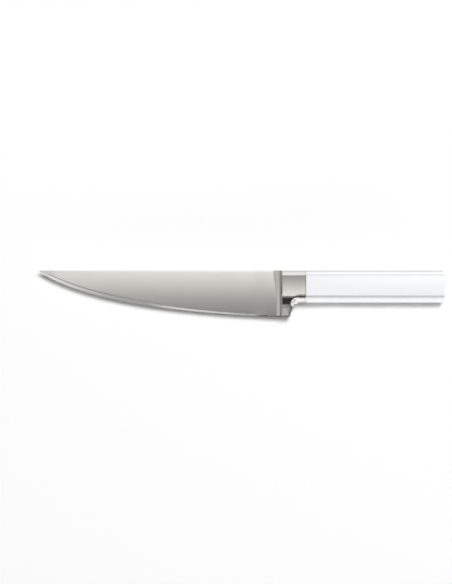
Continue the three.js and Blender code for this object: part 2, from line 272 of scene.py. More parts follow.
def combine(mesh, operation, tools, crease=CREASE):
    """Joins, cuts or overlaps a closed mesh with others, and returns one closed mesh."""
    target = new_piece(mesh.name, mesh)
    helpers = [new_piece(tool.name, tool) for tool in tools]
    for helper in helpers:
        step = target.modifiers.new(helper.name, "BOOLEAN")
        step.operation = operation
        step.solver = "EXACT"
        step.object = helper
    depsgraph = bpy.context.evaluated_depsgraph_get()
    result = bpy.data.meshes.new_from_object(target.evaluated_get(depsgraph))
    for piece in [target] + helpers:
        bpy.data.objects.remove(piece)
    shade(result, crease)
    return result


# %% [markdown]
# ## Scratches and clouds, shared by several finishes
#
# Ground steel carries thousands of fine parallel scratches. They are narrower than a pixel
# and long in one direction, so a noise that is stretched a lot in one direction gives them. The
# group puts out the scratches as a colour, a roughness and a height for bump. A second group adds
# the slow, cloudy unevenness that every polished, moulded or cast surface has: it takes a colour
# and a roughness and hands both on a little lighter or darker from place to place.

# %% Start a group with named sockets
def group_node(tree, kind, x, y, **settings):
    node = tree.nodes.new(kind)
    node.location = (x, y)
    for name, value in settings.items():
        setattr(node, name, value)
    return node


def new_group(name, inputs, outputs):
    tree = bpy.data.node_groups.new(name, "ShaderNodeTree")
    for socket, kind, default in inputs:
        made = tree.interface.new_socket(socket, in_out="INPUT", socket_type=kind)
        made.default_value = default
    for socket, kind in outputs:
        tree.interface.new_socket(socket, in_out="OUTPUT", socket_type=kind)
    return tree, group_node(tree, "NodeGroupInput", -700, 0), group_node(tree, "NodeGroupOutput", 700, 0)


# %% Build the scratches
SCRATCH_DETAIL = 5.0
SCRATCH_BREAKUP = 0.7


def build_scratch_group():
    tree, given, result = new_group(
        "ground scratches",
        [
            ("Stretch", "NodeSocketVector", (1.0, 1.0, 1.0)),
            ("Dark", "NodeSocketColor", (0.5, 0.5, 0.5, 1.0)),
            ("Light", "NodeSocketColor", (0.7, 0.7, 0.7, 1.0)),
            ("Smoothest", "NodeSocketFloat", 0.25),
            ("Roughest", "NodeSocketFloat", 0.4),
        ],
        [("Color", "NodeSocketColor"), ("Roughness", "NodeSocketFloat"), ("Height", "NodeSocketFloat")],
    )
    place_node = group_node(tree, "ShaderNodeTexCoord", -700, -200)
    stretch = group_node(tree, "ShaderNodeVectorMath", -500, -100, operation="MULTIPLY")
    noise = group_node(tree, "ShaderNodeTexNoise", -300, -100)
    noise.inputs["Scale"].default_value = 1.0
    noise.inputs["Detail"].default_value = SCRATCH_DETAIL
    noise.inputs["Roughness"].default_value = SCRATCH_BREAKUP
    colour = group_node(tree, "ShaderNodeMix", 100, 100, data_type="RGBA")
    rough = group_node(tree, "ShaderNodeMix", 100, -150, data_type="FLOAT")
    link = tree.links.new
    link(place_node.outputs["Object"], stretch.inputs[0])
    link(given.outputs["Stretch"], stretch.inputs[1])
    link(stretch.outputs[0], noise.inputs["Vector"])
    link(noise.outputs["Fac"], colour.inputs["Factor"])
    link(given.outputs["Dark"], colour.inputs["A"])
    link(given.outputs["Light"], colour.inputs["B"])
    link(noise.outputs["Fac"], rough.inputs["Factor"])
    link(given.outputs["Smoothest"], rough.inputs["A"])
    link(given.outputs["Roughest"], rough.inputs["B"])
    link(colour.outputs["Result"], result.inputs["Color"])
    link(rough.outputs["Result"], result.inputs["Roughness"])
    link(noise.outputs["Fac"], result.inputs["Height"])
    return tree


scratch_group = build_scratch_group()
print("shader group:", scratch_group.name)

# %% Build the clouds
CLOUD_DETAIL = 3.0
MIDDLE_GREY = 0.5


def build_cloud_group():
    tree, given, result = new_group(
        "slow clouds",
        [
            ("Color", "NodeSocketColor", (0.8, 0.8, 0.8, 1.0)),
            ("Roughness", "NodeSocketFloat", 0.3),
            ("Scale", "NodeSocketFloat", 100.0),
            ("Amount", "NodeSocketFloat", 0.05),
        ],
        [("Color", "NodeSocketColor"), ("Roughness", "NodeSocketFloat"), ("Height", "NodeSocketFloat")],
    )
    place_node = group_node(tree, "ShaderNodeTexCoord", -700, -200)
    noise = group_node(tree, "ShaderNodeTexNoise", -500, -100)
    noise.inputs["Detail"].default_value = CLOUD_DETAIL
    centred = group_node(tree, "ShaderNodeMath", -300, -100, operation="SUBTRACT")
    centred.inputs[1].default_value = MIDDLE_GREY
    change = group_node(tree, "ShaderNodeMath", -100, -100, operation="MULTIPLY_ADD")
    change.inputs[2].default_value = 1.0
    colour = group_node(tree, "ShaderNodeVectorMath", 200, 100, operation="SCALE")
    rough = group_node(tree, "ShaderNodeMath", 200, -150, operation="DIVIDE")
    link = tree.links.new
    link(place_node.outputs["Object"], noise.inputs["Vector"])
    link(given.outputs["Scale"], noise.inputs["Scale"])
    link(noise.outputs["Fac"], centred.inputs[0])
    link(centred.outputs[0], change.inputs[0])
    link(given.outputs["Amount"], change.inputs[1])
    link(given.outputs["Color"], colour.inputs[0])
    link(change.outputs[0], colour.inputs["Scale"])
    link(given.outputs["Roughness"], rough.inputs[0])
    link(change.outputs[0], rough.inputs[1])
    link(colour.outputs[0], result.inputs["Color"])
    link(rough.outputs[0], result.inputs["Roughness"])
    link(noise.outputs["Fac"], result.inputs["Height"])
    return tree


cloud_group = build_cloud_group()
print("shader group:", cloud_group.name)

# %% [markdown]
# ## Finishes
#
# Blade and bolster are ground steel, the blade across and with a brighter, finer bevel. The handle
# is a glossy white moulding with a clear skin over it, slightly blue. Its two fine lines and the edge
# along its spine are painted grey, as painted shade on those creases and that edge. Inside the handle
# are cast resin, which is amber and cloudy, and small turned fasteners. Every finish uses the clouds,
# and every steel uses the scratches too.


# %% Start a material around one Principled shader
def new_material(name):
    material = bpy.data.materials.new(name)
    material.use_nodes = True
    tree = material.node_tree
    shader = next(node for node in tree.nodes if node.type == "BSDF_PRINCIPLED")
    return material, tree, shader


def add_clouds(tree, shader, scale, amount):
    """Places the clouds in front of a shader's colour and roughness."""
    clouds = group_node(tree, "ShaderNodeGroup", -300, 200, node_tree=cloud_group)
    clouds.inputs["Scale"].default_value = scale
    clouds.inputs["Amount"].default_value = amount
    tree.links.new(clouds.outputs["Color"], shader.inputs["Base Color"])
    tree.links.new(clouds.outputs["Roughness"], shader.inputs["Roughness"])
    return clouds


def add_relief(tree, shader, height, strength, depth):
    relief = group_node(tree, "ShaderNodeBump", -200, -200)
    relief.inputs["Strength"].default_value = strength
    relief.inputs["Distance"].default_value = depth
    tree.links.new(height, relief.inputs["Height"])
    tree.links.new(relief.outputs["Normal"], shader.inputs["Normal"])


# %% Grind the steels
def ground_steel(name, stretch, dark, light, smoothest, roughest, strength):
    """Steel with fine scratches: the stretch gives how often they change along X, Y and Z."""
    material, tree, shader = new_material(name)
    scratches = group_node(tree, "ShaderNodeGroup", -600, 200, node_tree=scratch_group)
    scratches.inputs["Stretch"].default_value = stretch
    scratches.inputs["Dark"].default_value = (*dark, 1.0)
    scratches.inputs["Light"].default_value = (*light, 1.0)
    scratches.inputs["Smoothest"].default_value = smoothest
    scratches.inputs["Roughest"].default_value = roughest
    clouds = add_clouds(tree, shader, scale=60, amount=0.05)
    tree.links.new(scratches.outputs["Color"], clouds.inputs["Color"])
    tree.links.new(scratches.outputs["Roughness"], clouds.inputs["Roughness"])
    add_relief(tree, shader, scratches.outputs["Height"], strength, depth=0.02 * MM)
    shader.inputs["Metallic"].default_value = 1.0
    return material


STEEL_DARK = (0.55, 0.544, 0.513)
STEEL_LIGHT = (0.66, 0.652, 0.615)
BRIGHT_DARK = (0.62, 0.613, 0.59)
BRIGHT_LIGHT = (0.72, 0.712, 0.69)
PLAIN_DARK = (0.42, 0.42, 0.41)
PLAIN_LIGHT = (0.56, 0.56, 0.55)

blade_steel = ground_steel(
    "blade satin", stretch=(9000, 120, 120), dark=STEEL_DARK, light=STEEL_LIGHT,
    smoothest=0.15, roughest=0.21, strength=0.1,
)
bevel_steel = ground_steel(
    "edge bevel", stretch=(12000, 300, 300), dark=BRIGHT_DARK, light=BRIGHT_LIGHT,
    smoothest=0.07, roughest=0.11, strength=0.05,
)
bolster_steel = ground_steel(
    "bolster satin", stretch=(9000, 200, 200), dark=STEEL_DARK, light=STEEL_LIGHT,
    smoothest=0.14, roughest=0.2, strength=0.1,
)
turned_steel = ground_steel(
    "turned steel", stretch=(6000, 90, 90), dark=PLAIN_DARK, light=PLAIN_LIGHT,
    smoothest=0.3, roughest=0.45, strength=0.3,
)
print("steels:", [steel.name for steel in (blade_steel, bevel_steel, bolster_steel, turned_steel)])

# %% Mould the white plastic and cast the resin
WHITE = (0.87, 0.88, 0.905, 1.0)
# Grey painted into the handle's fine lines and spine edge: painted shade, not a colour of the plastic.
PAINTED_SHADE_GREY = (0.34, 0.36, 0.4, 1.0)
AMBER = (0.58, 0.45, 0.2, 1.0)


def white_plastic(name):
    material, tree, shader = new_material(name)
    # The line note mixes the painted shade grey into the white along the fine lines and the spine edge.
    line = group_node(tree, "ShaderNodeAttribute", -800, 200, attribute_name="line")
    tint = group_node(tree, "ShaderNodeMix", -600, 200, data_type="RGBA")
    tint.inputs["A"].default_value = WHITE
    tint.inputs["B"].default_value = PAINTED_SHADE_GREY
    clouds = add_clouds(tree, shader, scale=140, amount=0.02)
    clouds.inputs["Roughness"].default_value = 0.25
    tree.links.new(line.outputs["Fac"], tint.inputs["Factor"])
    tree.links.new(tint.outputs["Result"], clouds.inputs["Color"])
    add_relief(tree, shader, clouds.outputs["Height"], strength=0.1, depth=0.05 * MM)
    shader.inputs["Specular IOR Level"].default_value = 1.0
    shader.inputs["Coat Weight"].default_value = 1.0
    shader.inputs["Coat Roughness"].default_value = 0.12
    return material


def cast_resin(name):
    material, tree, shader = new_material(name)
    clouds = add_clouds(tree, shader, scale=400, amount=0.3)
    clouds.inputs["Color"].default_value = AMBER
    clouds.inputs["Roughness"].default_value = 0.45
    add_relief(tree, shader, clouds.outputs["Height"], strength=0.3, depth=0.1 * MM)
    return material


handle_white = white_plastic("handle white")
amber_resin = cast_resin("amber resin")
print("plastics:", handle_white.name, "and", amber_resin.name)

# %% [markdown]
# ## Blade
#
# Both faces of a forged blade are ground on one large radius: flat at the spine and turning in
# towards the edge, where a narrow second bevel makes it sharp. That is a rule, so Geometry Nodes
# can apply it. The script draws the flat outline of one side and notes at every point what the rule
# needs, such as how far it is below the spine and how sharp the edge is. The node tree lifts each
# point by the rule and mirrors the side. Modelling the faces by hand could look the same, but would
# not leave one named size for each thing that the grinder does.

# %% Draw the cutting edge
BLUNT_HEEL = 9 * MM
TIP_BLUNTNESS = 1.2 * MM
TIP_PULL = (41.4 * MM, 27.7 * MM)
HEEL_PULL = (63 * MM, 3.1 * MM)

tip = -BLADE_LENGTH
cutting_edge = [
    (tip, TIP_BLUNTNESS),
    (tip + TIP_PULL[0], TIP_PULL[1]),
    (-BLUNT_HEEL - HEEL_PULL[0], BLADE_DEPTH - HEEL_PULL[1]),
    (-BLUNT_HEEL, BLADE_DEPTH),
]
print("depth halfway along:", round(bezier_height(cutting_edge, tip / 2) / MM, 1), "mm")

# %% [markdown]
# ### The bevel along the edge
#
# The sharpener's bevel isn't the same all along. Towards the tip it gets wider, and a fine line shows
# above it. Towards the heel the blade is left thicker, so the bevel stands steeper and catches other
# light. Each change is a share from 0 to 1 along the blade, which is easy to move or to stretch.

# %% Set how the bevel changes along the edge
HEEL_BEVEL = 1.45 * MM
HEEL_WIDENING = 0.6 * MM
TIP_BEVEL = 2.7 * MM
WIDE_BEVEL_START = -70 * MM
WIDE_BEVEL_FULL = -130 * MM
BEVEL_LIMIT = 3  # the bevel takes a third of the depth at most
LINE_ONSET = (3 * MM, 6 * MM)
LINE_FADE = (-112 * MM, -98 * MM)
HEEL_THICKENING = 1.85
THICKENING_START = -26 * MM


def tip_share(along):
    """0 towards the heel and 1 towards the tip, where the bevel is wide."""
    return smooth(limit((along - WIDE_BEVEL_START) / (WIDE_BEVEL_FULL - WIDE_BEVEL_START)))


def heel_share(along):
    """0 along most of the blade, rising to 1 at the blunt heel, where the bevel is steep."""
    return smooth(limit((along - THICKENING_START) / (-BLUNT_HEEL - THICKENING_START)))


def bevel_width(along, depth):
    width = HEEL_BEVEL + (TIP_BEVEL - HEEL_BEVEL) * tip_share(along)
    return min(width + HEEL_WIDENING * heel_share(along), depth / BEVEL_LIMIT)


def line_share(along, depth):
    """1 where the fine line above the bevel is at its deepest, 0 where there is none."""
    begun = limit((depth - LINE_ONSET[0]) / (LINE_ONSET[1] - LINE_ONSET[0]))
    return begun * (1 - limit((along - LINE_FADE[0]) / (LINE_FADE[1] - LINE_FADE[0])))


def thickness_share(along, depth):
    """Thickness above the bevel: 1 along most of the blade, more at the heel, less at the tip."""
    heel = 1 + (HEEL_THICKENING - 1) * heel_share(along)
    return heel * limit(depth / BEVEL_LIMIT / TIP_BEVEL)


print("bevel at the heel:", round(bevel_width(-BLUNT_HEEL, BLADE_DEPTH) / MM, 2), "mm")

# %% [markdown]
# ### Ramp, shoulder and heel
#
# Next to the bolster both faces rise on a short ramp to a thick shoulder, and the shoulder falls into
# the fine groove of the seam. The ramp starts further out at the spine than at the edge. The last
# millimetres of the edge are blunt: the bevel runs out there into a small chamfer at the foot. All of
# it belongs to the same surface, so it is only a matter of more rows in the outline.

# %% Set out the rows and stations of the outline
COVE_TOP = 21.1 * MM
SPINE_RAMP = 5.85 * MM
HEEL_RAMP = 3.6 * MM
RAMP_CREASE = 0.2
SEAM = 0.55 * MM
SEAM_GROOVE = 1.9 * MM
SPINE_ROUND = 0.06 * MM
BEVEL_LINE = 0.18 * MM
BEVEL_RUNOUT = 2.5 * MM
RUNOUT_TAPER = 1.5
HEEL_CHAMFER = 0.5 * MM
FOOT_CHAMFER = 0.75 * MM
FOOT_ONSET = 0.2
DETAIL_LIMIT = 4  # a rounding or a fine line takes a quarter of its place at most
TIP_CROWDING = 1.4
SPINE_STEPS, FACE_STEPS, BEVEL_STEPS = 5, 26, 5
EDGE_STATIONS, RUNOUT_STATIONS, RAMP_STATIONS, GROOVE_STATIONS = 90, 16, 16, 6


def ramp_place(down, rise, groove):
    """Distance along the knife, up the rise to the shoulder and then into the seam's groove."""
    start = -(SPINE_RAMP + (HEEL_RAMP - SPINE_RAMP) * smooth(limit(down / COVE_TOP)))
    shoulder = SEAM - SEAM_GROOVE
    return shoulder + SEAM_GROOVE * groove + (start - shoulder) * (1 - rise)


def blade_rows(along, depth, sharp, rise):
    """Distances below the spine for one station of the blade's side."""
    bevel = bevel_width(along, depth) * sharp**RUNOUT_TAPER
    chamfer = HEEL_CHAMFER + (FOOT_CHAMFER - HEEL_CHAMFER) * limit(rise / FOOT_ONSET)
    bevel = max(bevel, chamfer * (1 - sharp))
    ground = depth - bevel
    rounded = min(SPINE_ROUND, ground / DETAIL_LIMIT)
    rows = [rounded * (1 - math.cos(angle)) for angle in spread(0, math.pi / 2, SPINE_STEPS)]
    rows += spread(rounded, ground - min(BEVEL_LINE, bevel / DETAIL_LIMIT), FACE_STEPS)[1:]
    rows += spread(ground, depth, BEVEL_STEPS)
    return rows, ground


def blade_stations():
    """Stations from the tip to the seam: (along, sharp, rise, groove). The last lie on the ramp."""
    sharp_end = -BLUNT_HEEL - BEVEL_RUNOUT
    edge, runout = spread(0, 1, EDGE_STATIONS), spread(0, 1, RUNOUT_STATIONS)[1:]
    ramp = [-RAMP_CREASE] + spread(0, 1, RAMP_STATIONS)
    stations = [(tip + (sharp_end - tip) * t**TIP_CROWDING, 1.0, 0.0, 0.0) for t in edge]
    stations += [(sharp_end + BEVEL_RUNOUT * t, 1 - smooth(t), 0.0, 0.0) for t in runout]
    stations += [(0.0, 0.0, rise, 0.0) for rise in ramp]
    stations += [(0.0, 0.0, 1.0, groove) for groove in spread(0, 1, GROOVE_STATIONS)[1:]]
    return stations


print("stations along the blade:", len(blade_stations()))

# %% Draw the flat outline of one side
NOTES = ("down", "depth", "ground", "full", "sharp", "thick", "line", "rise", "groove")


def blade_outline():
    """One flat side with its notes. Stations with along 0 lie on the ramp, which sets their place."""
    vertices, faces, notes = [], [], []
    for along, sharp, rise, groove in blade_stations():
        depth = BLADE_DEPTH if along > -BLUNT_HEEL else bezier_height(cutting_edge, along)
        thick, line = thickness_share(along, depth), line_share(along, depth)
        rows, ground = blade_rows(along, depth, sharp, rise)
        full = depth - bevel_width(along, depth)
        for down in rows:
            x = ramp_place(down, rise, groove) if along > -BLUNT_HEEL else along
            vertices.append(place(x, down, 0))
            notes.append((down, depth, ground, full, sharp, thick, line, max(rise, 0), groove))
    per_row = len(rows)
    for i in range(len(vertices) // per_row - 1):
        for j in range(per_row - 1):
            a = i * per_row + j
            faces.append((a, a + 1, a + 1 + per_row, a + per_row))
    mesh = bpy.data.meshes.new("blade outline")
    mesh.from_pydata(vertices, [], faces)
    for column, name in enumerate(NOTES):
        values = mesh.attributes.new(name, "FLOAT", "POINT")
        values.data.foreach_set("value", [note[column] for note in notes])
    return mesh


blade_side = blade_outline()
print("blade outline:", len(blade_side.vertices), "points, notes:", NOTES)

# %% [markdown]
# ### The grinding rule
#
# A rule in Geometry Nodes is a chain of small math nodes. Written out one by one they hide the sum
# that they do, so a small class gives each of them a short word. The sizes come in through the
# tree's own named inputs, and what changes from point to point comes from the notes.

# %% Find short words for math nodes
NODES_IN_COLUMN = 8
NODE_STEP = (180, -160)


class Rule:
    """Short words for building a chain of math nodes, set out in columns."""

    def __init__(self, tree):
        self.tree = tree

    def node(self, kind, **settings):
        column, row = divmod(len(self.tree.nodes), NODES_IN_COLUMN)
        return group_node(self.tree, kind, column * NODE_STEP[0], row * NODE_STEP[1], **settings)

    def math(self, operation, *values):
        node = self.node("ShaderNodeMath", operation=operation)
        for socket, value in zip(node.inputs, values):
            if isinstance(value, (int, float)):
                socket.default_value = value
            else:
                self.tree.links.new(value, socket)
        return node.outputs[0]

    def note(self, name):
        node = self.node("GeometryNodeInputNamedAttribute", data_type="FLOAT")
        node.inputs["Name"].default_value = name
        return node.outputs["Attribute"]


def blend(rule, share, first, second):
    kept = rule.math("MULTIPLY", first, rule.math("SUBTRACT", 1, share))
    return rule.math("ADD", kept, rule.math("MULTIPLY", second, share))


# %% Name the sizes of the rule
BLADE_SIZES = {
    "Grind Radius": 530 * MM,
    "Bevel Half": 0.5 * MM,
    "Edge Half": 0.05 * MM,
    "Line Depth": 0.1 * MM,
    "Spine Round": SPINE_ROUND,
    "Shoulder Half": 3.95 * MM,
    "Shoulder Taper": 2.17 * MM,
    "Ramp Steepness": 1.2,
    "Groove Depth": 1.08 * MM,
    "Heel Drop": 0.27 * MM,
    "Shoulder Drop": 0.28 * MM,
    "Foot Onset": FOOT_ONSET,
}
TINY = 1e-6
print("named sizes:", len(BLADE_SIZES))


# %% Write the grinding rule in math nodes
def bevel_share(rule):
    """How far a point is down the bevel or the foot's chamfer, from 0 to 1."""
    past = rule.math("SUBTRACT", rule.note("down"), rule.note("ground"))
    width = rule.math("SUBTRACT", rule.note("depth"), rule.note("ground"))
    share = rule.math("DIVIDE", past, rule.math("MAXIMUM", width, TINY))
    return rule.math("MAXIMUM", share, 0)


def ground_half(rule, size):
    """Half thickness of the ground blade: the round face, less the bevel along the edge."""
    reached = rule.math("MINIMUM", rule.note("down"), rule.note("ground"))
    squares = [rule.math("POWER", value, 2) for value in (rule.note("full"), reached)]
    across = rule.math("MULTIPLY", size["Grind Radius"], 2)
    bulge = rule.math("DIVIDE", rule.math("SUBTRACT", *squares), across)
    thick = rule.math("MULTIPLY", size["Bevel Half"], rule.note("thick"))
    face = rule.math("ADD", bulge, thick)
    thinned = rule.math("SUBTRACT", face, size["Edge Half"])
    thinned = rule.math("MULTIPLY", thinned, rule.note("sharp"))
    past = rule.math("SUBTRACT", rule.note("down"), rule.note("ground"))
    step = rule.math("MULTIPLY", rule.note("line"), size["Line Depth"])
    step = rule.math("MULTIPLY", rule.math("GREATER_THAN", past, -TINY), step)
    return rule.math("SUBTRACT", face, blend(rule, bevel_share(rule), step, thinned))


def spine_fall(rule, size):
    """How far the rounded edge of the spine falls back."""
    near = rule.math("SUBTRACT", 1, rule.math("DIVIDE", rule.note("down"), size["Spine Round"]))
    near = rule.math("MINIMUM", rule.math("MAXIMUM", near, 0), 1)
    rest = rule.math("SQRT", rule.math("SUBTRACT", 1, rule.math("POWER", near, 2)))
    return rule.math("MULTIPLY", rule.math("SUBTRACT", 1, rest), size["Spine Round"])


def half_thickness(rule, size):
    """The blade's half thickness at a point, from the notes on it and the named sizes."""
    half = rule.math("SUBTRACT", ground_half(rule, size), spine_fall(rule, size))
    rise = rule.note("rise")
    curved = rule.math("SUBTRACT", 1, size["Ramp Steepness"])
    curved = rule.math("MULTIPLY", rule.math("POWER", rise, 2), curved)
    lift = rule.math("ADD", rule.math("MULTIPLY", rise, size["Ramp Steepness"]), curved)
    share = rule.math("DIVIDE", rule.note("down"), rule.note("depth"))
    tapered = rule.math("MULTIPLY", share, size["Shoulder Taper"])
    half = blend(rule, lift, half, rule.math("SUBTRACT", size["Shoulder Half"], tapered))
    onset = rule.math("MINIMUM", rule.math("DIVIDE", rise, size["Foot Onset"]), 1)
    blunt = rule.math("SUBTRACT", 1, rule.note("sharp"))
    foot = rule.math("MULTIPLY", blend(rule, onset, size["Heel Drop"], size["Shoulder Drop"]), blunt)
    foot = rule.math("MULTIPLY", bevel_share(rule), foot)
    groove = rule.math("MULTIPLY", rule.note("groove"), size["Groove Depth"])
    return rule.math("SUBTRACT", half, rule.math("ADD", foot, groove))


# %% Lift and mirror the side with Geometry Nodes
def build_blade_tree():
    tree = bpy.data.node_groups.new("grind both faces", "GeometryNodeTree")
    tree.interface.new_socket("Geometry", in_out="INPUT", socket_type="NodeSocketGeometry")
    for name, value in BLADE_SIZES.items():
        made = tree.interface.new_socket(name, in_out="INPUT", socket_type="NodeSocketFloat")
        made.default_value = value
    tree.interface.new_socket("Geometry", in_out="OUTPUT", socket_type="NodeSocketGeometry")
    rule = Rule(tree)
    given, result = rule.node("NodeGroupInput"), rule.node("NodeGroupOutput")
    half = half_thickness(rule, {name: given.outputs[name] for name in BLADE_SIZES})
    sides = []
    for direction in (1, -1):
        offset = rule.node("ShaderNodeCombineXYZ")
        tree.links.new(rule.math("MULTIPLY", half, direction), offset.inputs["Z"])
        lifted = rule.node("GeometryNodeSetPosition")
        tree.links.new(given.outputs["Geometry"], lifted.inputs["Geometry"])
        tree.links.new(offset.outputs[0], lifted.inputs["Offset"])
        sides.append(lifted.outputs["Geometry"])
    flipped = rule.node("GeometryNodeFlipFaces")
    tree.links.new(sides[1], flipped.inputs["Mesh"])
    both = rule.node("GeometryNodeJoinGeometry")
    tree.links.new(sides[0], both.inputs["Geometry"])
    tree.links.new(flipped.outputs["Mesh"], both.inputs["Geometry"])
    real = rule.node("GeometryNodeRealizeInstances")
    tree.links.new(both.outputs["Geometry"], real.inputs["Geometry"])
    steel = rule.node("GeometryNodeSetMaterial")
    steel.inputs["Material"].default_value = blade_steel
    tree.links.new(real.outputs["Geometry"], steel.inputs["Geometry"])
    bevel = rule.node("GeometryNodeSetMaterial")
    bevel.inputs["Material"].default_value = bevel_steel
    sharpened = rule.math("MULTIPLY", bevel_share(rule), rule.note("sharp"))
    tree.links.new(rule.math("GREATER_THAN", sharpened, TINY), bevel.inputs["Selection"])
    tree.links.new(steel.outputs["Geometry"], bevel.inputs["Geometry"])
    tree.links.new(bevel.outputs["Geometry"], result.inputs["Geometry"])
    return tree


blade_tree = build_blade_tree()
print("node tree:", blade_tree.name, "with", len(blade_tree.nodes), "nodes")

# %% Run the tree and close the blade
BLADE_CREASE = 35


def apply_tree(outline, tree, sizes):
    """Runs a node tree on an outline mesh and returns the result as a plain mesh."""
    carrier = new_piece(outline.name, outline)
    modifier = carrier.modifiers.new("rule", "NODES")
    modifier.node_group = tree
    for item in tree.interface.items_tree:
        if item.item_type == "SOCKET" and item.in_out == "INPUT" and item.name in sizes:
            modifier[item.identifier] = sizes[item.name]
    depsgraph = bpy.context.evaluated_depsgraph_get()
    mesh = bpy.data.meshes.new_from_object(carrier.evaluated_get(depsgraph))
    carrier.modifiers.remove(modifier)
    bpy.data.objects.remove(carrier)
    return mesh


def close_rims(mesh):
    """Joins the two open rims of a mirrored pair of sides by a strip, all the way round."""
    work = bmesh.new()
    work.from_mesh(mesh)
    rim = [edge for edge in work.edges if edge.is_boundary]
    bmesh.ops.bridge_loops(work, edges=rim)
    work.to_mesh(mesh)
    work.free()


blade_mesh = apply_tree(blade_side, blade_tree, BLADE_SIZES)
blade_mesh.name = "blade_ground"
close_rims(blade_mesh)
shade(blade_mesh, crease=BLADE_CREASE)

# %% [markdown]
# ## Tang and stud
#
# A forged blade goes on through the bolster as a flat tang, and ends in a threaded stud inside the
# handle. Neither shows on the finished knife, but the blade is one piece with them, so they are
# joined to it here. Their ends are read from the solids.

# %% Join tang and stud to the blade
TANG_HEIGHT = 12 * MM
TANG_THICKNESS = 5 * MM
STUD_RADIUS = 2.5 * MM
CRISP = 0.06 * MM
TANG_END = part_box("tang_bedding")[1].x - SEAM_X
STUD_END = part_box("blade")[1].x - SEAM_X

tang = prism("tang", square_outline(TANG_HEIGHT, TANG_THICKNESS), SEAM - CRISP, TANG_END)
stud = prism("stud", round_outline(STUD_RADIUS), TANG_END - OVERLAP, STUD_END)
blade = new_piece("blade_ground", combine(blade_mesh, "UNION", [tang, stud], BLADE_CREASE))
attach(blade, BODY)
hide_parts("blade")
print("tang to", round(TANG_END / MM, 1), "mm, stud to", round(STUD_END / MM, 1), "mm behind the seam")

# %% [markdown]
# ## Bolster
#
# The bolster is one forged piece: a neck with the section of the handle, and a thinner guard below
# it that keeps the finger off the edge. An S-shaped step leads from neck to guard and dies out
# along the finger curve, and the lower edge turns from the handle's wide facet into a small chamfer
# at the foot. Joining plain blocks would leave hard corners between these forms. A surface that
# follows such rules is worked out point by point instead.

# %% Draw the finger curve
GUARD_FOOT = 7.3 * MM
FINGER_REACH = 8.3 * MM
FINGER_FULLNESS = 1.5
FINGER_STEPS = 180


def finger_curve(turn):
    """A point of the curve: turn 0 is the guard's foot, turn 1 the handle's underside."""
    angle = math.pi / 2 * turn
    along = GUARD_FOOT + FINGER_REACH * (1 - math.cos(angle))
    return along, BLADE_DEPTH - (BLADE_DEPTH - HANDLE_HEIGHT) * math.sin(angle) ** FINGER_FULLNESS


FINGER_POINTS = [(turn, *finger_curve(turn)) for turn in spread(0, 1, FINGER_STEPS)]


def nearest_outline(along, down):
    """Distance to the bolster's lower outline, and how far round the finger curve that is."""
    if along > GUARD_FOOT + FINGER_REACH:
        return HANDLE_HEIGHT - down, 1.0
    best = min((math.hypot(along - x, down - d), turn) for turn, x, d in FINGER_POINTS)
    if along < GUARD_FOOT:
        best = min(best, (BLADE_DEPTH - down, 0.0))
    return best


print("middle of the finger curve, in mm:", [round(value / MM, 1) for value in finger_curve(0.5)])

# %% Draw the side face and the step down to the guard
TOP_BEVEL = 3.75 * MM
TOP_ROUND = 1.1 * MM
FACE_HEIGHT = COVE_TOP - TOP_BEVEL
NECK_INSET = 0.05 * MM
NECK_TOP = HALF_HANDLE - NECK_INSET
NECK_SLOPES = (-0.058, 0.002)
HALF_GUARD = 4.6 * MM
GUARD_LEAN = 0.265 * MM
COVE_HEIGHT = 9.6 * MM
COVE_UPPER_PULL = (3.9 * MM, 1.0 * MM)
COVE_LOWER_PULL = (5.2 * MM, 0.42 * MM)

neck_foot = NECK_TOP + FACE_HEIGHT * sum(NECK_SLOPES) / 2
cove = [
    (COVE_TOP, neck_foot),
    (COVE_TOP + COVE_UPPER_PULL[0], neck_foot - COVE_UPPER_PULL[1]),
    (COVE_TOP + COVE_LOWER_PULL[0], HALF_GUARD + COVE_LOWER_PULL[1]),
    (COVE_TOP + COVE_HEIGHT, HALF_GUARD),
]


def face_half(down, top, slopes):
    """The side face: a shallow curve whose slope runs from the first value to the second."""
    below = limit((down - TOP_BEVEL) / FACE_HEIGHT) * FACE_HEIGHT
    return top + slopes[0] * below + (slopes[1] - slopes[0]) * below**2 / (2 * FACE_HEIGHT)


def top_bevel(down):
    """The flat bevel along the top, with a rounded edge at the spine."""
    return HALF_HANDLE - TOP_BEVEL + down - edge_fall(down, TOP_ROUND)


def guard_half(down):
    """Half thickness of the step and the guard below it, which leans in a little."""
    below = min(down, COVE_TOP + COVE_HEIGHT)
    lean = GUARD_LEAN * (down - below) / (BLADE_DEPTH - COVE_TOP - COVE_HEIGHT)
    return bezier_height(cove, below) - lean


print("half thickness of the foot:", round(guard_half(BLADE_DEPTH) / MM, 2), "mm")

# %% Add the lower facet
LOWER_FACET = HANDLE_HEIGHT - COVE_TOP
HALF_UNDERSIDE = 3.6 * MM
FACET_FULLNESS = 1.25
FACET_TURNING = 1.5
FACET_STEEPNESS = (neck_foot - HALF_UNDERSIDE) / LOWER_FACET
FOOT_DROP = 0.5 * MM
FOOT_STEEPNESS = FOOT_DROP / FOOT_CHAMFER
LOWER_CREASE = 1.1 * MM
EDGE_SOFTNESS = 0.35 * MM
COVE_FADE = 2.7 * MM


def soft_min(a, b, width):
    """The smaller of two values, with the crease between them rounded over a width."""
    overlap = max(width - abs(a - b), 0) / width
    return min(a, b) - overlap * overlap * width / 4


def facet(inwards):
    """Height share of the lower facet: 0 at the outline, 1 on the side face, the crease rounded."""
    return soft_min(inwards ** (1 / FACET_FULLNESS), 1.0, LOWER_CREASE / LOWER_FACET)


